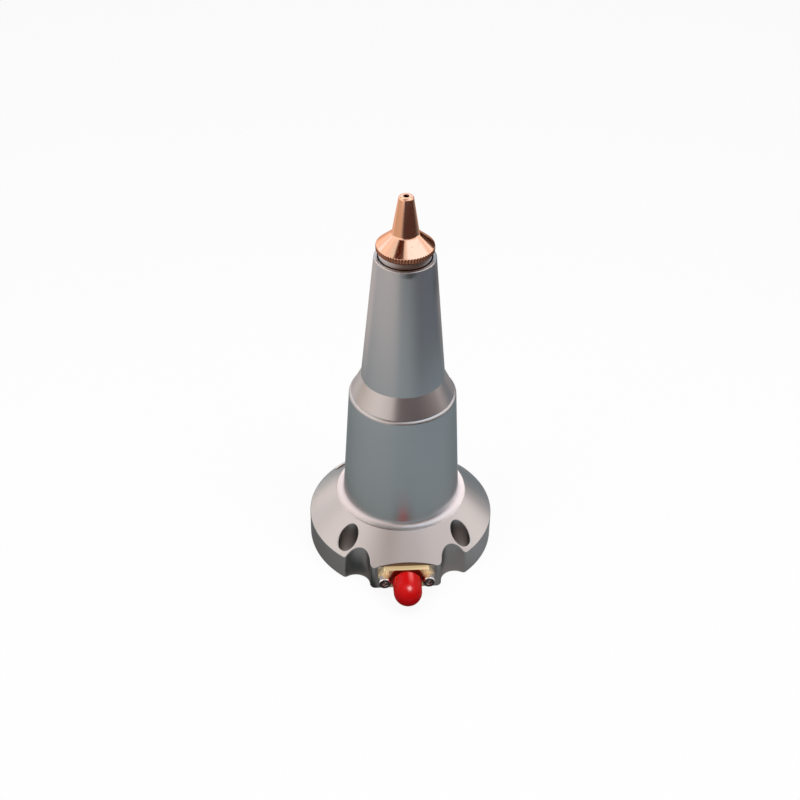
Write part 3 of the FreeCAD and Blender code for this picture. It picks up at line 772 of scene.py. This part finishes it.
# %% [markdown]
# ## Connector screws
# Two small cap screws hold the connector. The head has a fine straight knurl and a six-sided socket. The
# socket's wall is a circle whose radius is swapped for a hexagon's: half its width over the cosine of the
# angle from the middle of the nearest side. The surface runs from the shank's tip to the socket's floor in
# one piece, where a socket cut by a Boolean modifier would leave long thin faces round its edge.

# %% Screw surfaces
head_length = 2.0
head_round = 0.25
head_foot_radius = 1.7
face_radius = 1.1
socket_half_width = 0.75
socket_depth = 1.0
screw_teeth = 36
screw_knurl_depth = 0.06
screw_radius = 1.0
screw_pitch = 0.4
screw_thread_depth = 0.2
screw_row = 0.08
tip_flat_radius = 0.7
tip_bevel = 0.25
head_front = -screws_low.y
head_back = head_front - head_length
screw_tip = -screws_high.y
screw_thread_low = screw_tip + tip_bevel
screw_thread_high = head_back - 0.05


def screw_outline():
    """The outside of a screw from its tip to the flat round its socket, as (radius, place) rows."""
    shank = np.arange(screw_thread_low, screw_thread_high, screw_row)
    turn = np.radians([0, 25, 50, 75, 90])
    round_radius = screw_head_radius - head_round + head_round * np.cos(turn)
    round_place = head_front - head_round + head_round * np.sin(turn)
    return np.vstack([
        [(tip_flat_radius / 2, screw_tip), (tip_flat_radius, screw_tip)],
        [(screw_radius - 0.05, screw_tip + 0.2)],
        np.column_stack([screw_radius + 0 * shank, shank]),
        [(screw_radius, head_back), (head_foot_radius, head_back), (screw_head_radius, head_back + 0.05)],
        [(screw_head_radius, head_front - head_round - 0.05)],
        np.column_stack([round_radius, round_place]),
        [(face_radius, head_front)],
    ])


def socket_rows(angle):
    """Radius and place of the socket's six-sided rows, from its bevelled edge to its floor."""
    from_middle = (angle + math.pi / 6) % (math.pi / 3) - math.pi / 6
    hexagon = socket_half_width / np.cos(from_middle)
    floor = head_front - socket_depth
    radius = np.vstack([hexagon + 0.06, hexagon, hexagon, hexagon * 0.2])
    place = np.array([[head_front], [head_front - 0.06], [floor], [floor - 0.15]]) + 0 * angle
    return radius, place


def screw_grid(side):
    """One screw as rows of points from its tip to its socket's floor."""
    angle = full_circle(screw_teeth * 4)
    outline = screw_outline()
    radius, place = outline[:, :1] + 0 * angle, outline[:, 1:] + 0 * angle
    wave = thread_wave(place, angle, screw_pitch, screw_thread_low, screw_thread_high)
    radius = radius - screw_thread_depth * wave * (place < head_back - 0.02)
    on_knurl = (place > head_back + 0.02) & (place < head_front - head_round - 0.01)
    radius = radius - screw_knurl_depth * knurl_wave(angle, screw_teeth) * on_knurl
    socket_radius, socket_place = socket_rows(angle)
    radius = np.vstack([radius, socket_radius])
    place = np.vstack([place, socket_place])
    return about_y(radius, place, angle, side * screw_axis_x, screw_axis_z)


screws_mesh = grid_mesh("cap_screws", [screw_grid(-1), screw_grid(1)], ring=False)
screws = add_piece(screws_mesh, "head", screw_steel)
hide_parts("connector_screws")

# %% [markdown]
# ## Dust cap
# The cap is a soft moulded tube with a domed end. Its mouth is rounded and a hair thicker, as dipped and
# moulded caps are, and its bore ends in a shallow dome of its own. One outline gives the dome, the mouth
# and the bore, so that the cap is a single closed surface with a true wall.

# %% Cap surface
cap_radius = (cap_high.x - cap_low.x) / 2
cap_mouth = -cap_high.y
cap_end = -cap_low.y
bore_radius = 3.25
bore_end = 32.4
draft = 0.06
mouth_length = 1.2
swell_length = 2.6
cap_columns = 96

turn = np.radians(np.linspace(2, 90, 24))
dome_place = cap_end - cap_radius + cap_radius * np.cos(turn)
dome = np.column_stack([(cap_radius - draft) * np.sin(turn), dome_place])
wall = [
    (cap_radius - draft / 2, cap_mouth + swell_length),
    (cap_radius - draft / 4, cap_mouth + mouth_length),
]
mouth_turn = np.radians(np.linspace(0, 180, 13))
mouth_half = (cap_radius - bore_radius) / 2
mouth_radius = bore_radius + mouth_half + mouth_half * np.cos(mouth_turn)
mouth = np.column_stack([mouth_radius, cap_mouth + mouth_half - mouth_half * np.sin(mouth_turn)])
bore = [
    (bore_radius, cap_mouth + mouth_length),
    (bore_radius, bore_end - 0.5),
    (bore_radius - 0.3, bore_end - 0.12),
    (bore_radius - 0.8, bore_end),
    (0.4, bore_end),
]
cap_outline = np.vstack([dome, wall, mouth, bore])[::-1]
angle = full_circle(cap_columns)
radius, place = cap_outline[:, :1] + 0 * angle, cap_outline[:, 1:] + 0 * angle
cap_mesh = grid_mesh("cap_moulded", [about_y(radius, place, angle, 0.0, cap_axis_z)], ring=False)
cap = add_piece(cap_mesh, "cap", red_cap)
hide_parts("dust_cap")

# %% [markdown]
# ## Stage
# The head stands on a plain pale floor. The camera sees it almost white, and everything else sees a plain
# light grey, so that the floor keeps the head's soft shadow but doesn't wash the colours out.

# %% The floor
white = (1.0, 1.0, 1.0)
floor_half = 3.0
floor_drop = 0.02 * mm
floor_glow = 1.26
glow_share = 0.72


def show(mesh, finish):
    """Links a mesh as part of the stage and returns its object."""
    thing = bpy.data.objects.new(mesh.name, mesh)
    bpy.context.scene.collection.objects.link(thing)
    mesh.materials.append(finish.material)
    return thing


floor_finish = Finish("pale_floor", Base_Color=(0.3, 0.3, 0.3), Roughness=1.0)
floor_finish.set("Specular IOR Level", 0.0)
camera_ray = floor_finish.add("ShaderNodeLightPath", {}, {}, "Is Camera Ray")
camera_glow = floor_finish.add("ShaderNodeEmission", {}, {"Color": white, "Strength": floor_glow})
lit_floor = Wire(floor_finish, floor_finish.shader.outputs[0])
blend = {0: camera_ray * glow_share, 1: lit_floor, 2: camera_glow}
floor_finish.close("Material Output", floor_finish.add("ShaderNodeMixShader", {}, blend))
floor_mesh = bpy.data.meshes.new("floor")
signs = ((-1, -1), (1, -1), (1, 1), (-1, 1))
floor_corners = [(x * floor_half, y * floor_half, -floor_drop) for x, y in signs]
floor_mesh.from_pydata(floor_corners, [], [(0, 1, 2, 3)])
show(floor_mesh, floor_finish)
print("floor ready")

# %% [markdown]
# ## What the metal mirrors
# Bare metal has hardly a shade of its own: it shows the studio. So the studio is painted, once, on two
# surfaces that only mirrored rays see: a disc on the floor and a dome above. The paint is laid on in soft
# windows over two numbers, the bearing, which is the angle from the connector's side towards +X, and the
# distance from the axis on the disc or the height angle on the dome. Pale on the left, dark on the right and
# bright overhead is how a product photographer shapes round metal.

# %% Soft windows of light
def window(values, low, high, width):
    """1 between two levels and 0 outside them, with smooth edges of the given width."""
    return soft_step(values, low, width) * (1 - soft_step(values, high, width))


def painted(base, layers):
    """Colours at each point: a base, and layers laid over it in turn, each by a share from 0 to 1."""
    glow = np.array(base)
    for share, colour in layers:
        glow = glow + share[..., None] * (np.array(colour) - glow)
    return glow


def mirrored_surface(name, points, glow):
    """A stage surface from a grid of points in millimetres. It glows with one colour at each point, and only
    glossy rays see it."""
    rows, columns = points.shape[:2]
    mesh = bpy.data.meshes.new(name)
    mesh.from_pydata((points.reshape(-1, 3) * mm).tolist(), [], grid_faces(rows, columns, False).tolist())
    shades = mesh.color_attributes.new("glow", "FLOAT_COLOR", "POINT")
    colours = np.concatenate([glow, np.ones((rows, columns, 1))], axis=-1)
    shades.data.foreach_set("color", colours.astype(np.float32).ravel())
    finish = Finish(name)
    shade = finish.add("ShaderNodeAttribute", {"attribute_name": "glow"}, {}, "Color")
    light = finish.add("ShaderNodeEmission", {}, {"Color": shade, "Strength": 1.0})
    finish.close("Material Output", light)
    finish.material.cycles.emission_sampling = "NONE"
    thing = show(mesh, finish)
    thing.visible_camera = False
    thing.visible_diffuse = False
    thing.visible_shadow = False
    thing.visible_transmission = False


bearings = np.linspace(-180, 180, 241)[:-1]
print("paint helpers ready")

# %% [markdown]
# The higher up the head, the further out on the floor its walls look: the flange's rim sees the floor up to
# 40 mm from the axis, the barrel up to 100, the nose up to 300, and the nozzle's taper what lies beyond.

# %% The disc on the floor
distances = np.concatenate([np.arange(2, 240, 2), np.geomspace(240, 1500, 24)])
distance, bearing = np.meshgrid(distances, bearings, indexing="ij")
split = -17 - 16 * soft_step(distance, 310, 100)
split_width = 14 + 18 * soft_step(distance, 310, 100)
left = window(bearing, -150, split, split_width)
right = window(bearing, split, 140, split_width)
far_right = window(bearing, split, 104, split_width)
for_nose = soft_step(distance, 115, 24)
for_taper = soft_step(distance, 310, 80)

# The dark layers close to the axis are the head's painted shadow on the floor: by its rim, under its left
# scallop and under its screws.
disc_glow = painted((0.395, 0.47, 0.49), [
    (soft_step(distance, 75, 40) * 0.6, (0.45, 0.54, 0.585)),
    (right * window(distance, 30, 110, 20) * 0.4, (0.34, 0.44, 0.52)),
    (1 - soft_step(distance, 37, 12), (0.26, 0.26, 0.26)),
    (soft_step(bearing, 50, 30) * (1 - soft_step(distance, 42, 8)), (0.42, 0.45, 0.47)),
    (window(bearing, -38, -17, 6) * (1 - soft_step(distance, 30, 3)), (0.03, 0.04, 0.04)),
    (window(bearing, -16, 16, 5) * window(distance, 31, 42, 3), (0.04, 0.03, 0.03)),
    (1 - soft_step(distance, 23, 5), (0.5, 0.43, 0.4)),
    (left * for_nose, (0.58, 0.6, 0.62)),
    (left * soft_step(distance, 165, 90), (0.82, 0.81, 0.84)),
    (right * for_nose, (0.45, 0.52, 0.55)),
    (window(bearing, 22, 140, 50) * for_nose, (0.21, 0.245, 0.29)),
    (left * for_taper, (0.76, 0.6, 0.48)),
    (far_right * for_taper, (0.09, 0.05, 0.045)),
    (window(bearing, 138, 172, 6) * soft_step(distance, 600, 80), (0.04, 0.01, 0.0)),
    ((1 - soft_step(bearing, -122, 12)) * soft_step(distance, 105, 50), (1.1, 1.02, 1.0)),
    (window(bearing, 126, 181, 10) * window(distance, 110, 640, 50), (0.62, 0.58, 0.58)),
])
turned = np.radians(bearing)
disc_points = np.stack([distance * np.sin(turned), -distance * np.cos(turned), 0 * distance - 0.01], axis=-1)
mirrored_surface("floor_paint", disc_points[::-1], disc_glow[::-1])
print("floor paint ready")

# %% [markdown]
# The dome is for the cones, which look up: the flange, the skirt and the nozzle's shoulder. Behind the head,
# a dark band between two bright ones draws the lines along the collar and the rounded edges.

# %% The dome
dome_radius = 1500.0
heights = np.linspace(-1, 90, 92)
height, bearing = np.meshgrid(heights, bearings, indexing="ij")
behind = 1 - soft_step(180 - np.abs(bearing), 60, 10)
wall_top = 27 - 0.42 * np.clip(bearing - 30, 0, 70)
box_foot = 53 - 0.42 * np.clip(bearing - 50, 0, 90)
path = 36 - 0.83 * (bearing - 105)
path_low = -7 - 10 * soft_step(bearing, 142, 8)

dome_glow = painted((1.16, 1.04, 1.01), [
    (window(bearing, -112, -50, 20) * window(height, 8, 42, 8), (1.4, 1.28, 1.24)),
    (window(bearing, -32, 30, 20) * window(height, 32, 50, 6), (0.86, 0.74, 0.7)),
    (window(bearing, -22, 92, 7) * (1 - soft_step(height, wall_top, 6)), (0.13, 0.095, 0.105)),
    (soft_step(height, 50, 6) * (bearing < 0), (1.05, 1.1, 1.1)),
    (window(bearing, -66, -13, 5) * window(height, 50, 69, 3), (0.08, 0.01, 0.0)),
    (window(bearing, 84, 140, 10) * window(height, 2, 26, 8), (1.45, 1.36, 1.32)),
    (window(bearing, -172, -124, 8) * window(height, -2, 19, 8), (1.4, 1.3, 1.28)),
    (window(bearing, 124, 172, 8) * window(height, -2, 19, 8), (1.08, 0.98, 0.97)),
    (window(bearing, 8, 104, 14) * window(height, box_foot, 74, 5), (1.3, 1.6, 1.85)),
    (behind * window(height, 24, 38, 4), (1.35, 1.6, 1.9)),
    (behind * window(height, 38, 46, 3), (0.3, 0.25, 0.2)),
    (behind * window(height, 46, 66, 3), (2.4, 2.1, 1.8)),
    (window(bearing, 127, 172, 4) * window(height - path, path_low, 7, 4), (0.04, 0.01, 0.0)),
    (soft_step(height, 71, 6), (0.3, 0.24, 0.22)),
])
turned, raised = np.radians(bearing), np.radians(height)
dome_directions = [np.cos(raised) * np.sin(turned), -np.cos(raised) * np.cos(turned), np.sin(raised)]
mirrored_surface("dome_paint", np.stack(dome_directions, axis=-1) * dome_radius, dome_glow)
print("dome paint ready")

# %% [markdown]
# ## World and lamps
# Everything that isn't metal is lit by a soft even room and two large soft boxes, which also cast the
# floor's shadow. A third box shines on the cap alone and shows in its skin as the bright spot on the dome.

# %% The world
ambient = 0.38
studio = bpy.data.worlds.new("studio")
studio.use_nodes = True
bpy.context.scene.world = studio
room = Room(studio)
seen = room.add("ShaderNodeLightPath", {}, {}, "Is Camera Ray")
seen = seen.math("MAXIMUM", room.add("ShaderNodeLightPath", {}, {}, "Is Glossy Ray"))
seen = seen.math("MAXIMUM", room.add("ShaderNodeLightPath", {}, {}, "Is Transmission Ray"))
light = room.add("ShaderNodeBackground", {}, {"Color": white, "Strength": ambient})
backdrop = room.add("ShaderNodeBackground", {}, {"Color": white, "Strength": 1.0})
room.close("World Output", room.add("ShaderNodeMixShader", {}, {0: seen, 1: light, 2: backdrop}))
print("world ready")

# %% Lamps
lamp_target = Vector((0, 0, 40)) * mm


def lamp(name, place, width, height, radiance):
    """A rectangular soft box that faces the head. Its power gives it the radiance that is asked for."""
    data = bpy.data.lights.new(name, "AREA")
    data.shape = "RECTANGLE"
    data.size = width * mm
    data.size_y = height * mm
    data.energy = radiance * math.pi * data.size * data.size_y
    box = bpy.data.objects.new(name, data)
    bpy.context.scene.collection.objects.link(box)
    box.location = Vector(place) * mm
    box.rotation_euler = (lamp_target - box.location).to_track_quat("-Z", "Y").to_euler()
    box.visible_camera = False
    return box


overheads = (
    lamp("overhead_right", (150, -100, 450), 280, 460, 2.9),
    lamp("overhead_left", (-230, -100, 400), 280, 460, 1.9),
)
for overhead in overheads:
    overhead.visible_glossy = False
spark =lamp("spark", (118, -170, 560), 250, 250, 62)
spark.visible_diffuse = False
spark_sees = bpy.data.collections.new("spark_sees")
spark_sees.objects.link(cap)
spark.light_linking.receiver_collection = spark_sees
print("lamps ready")
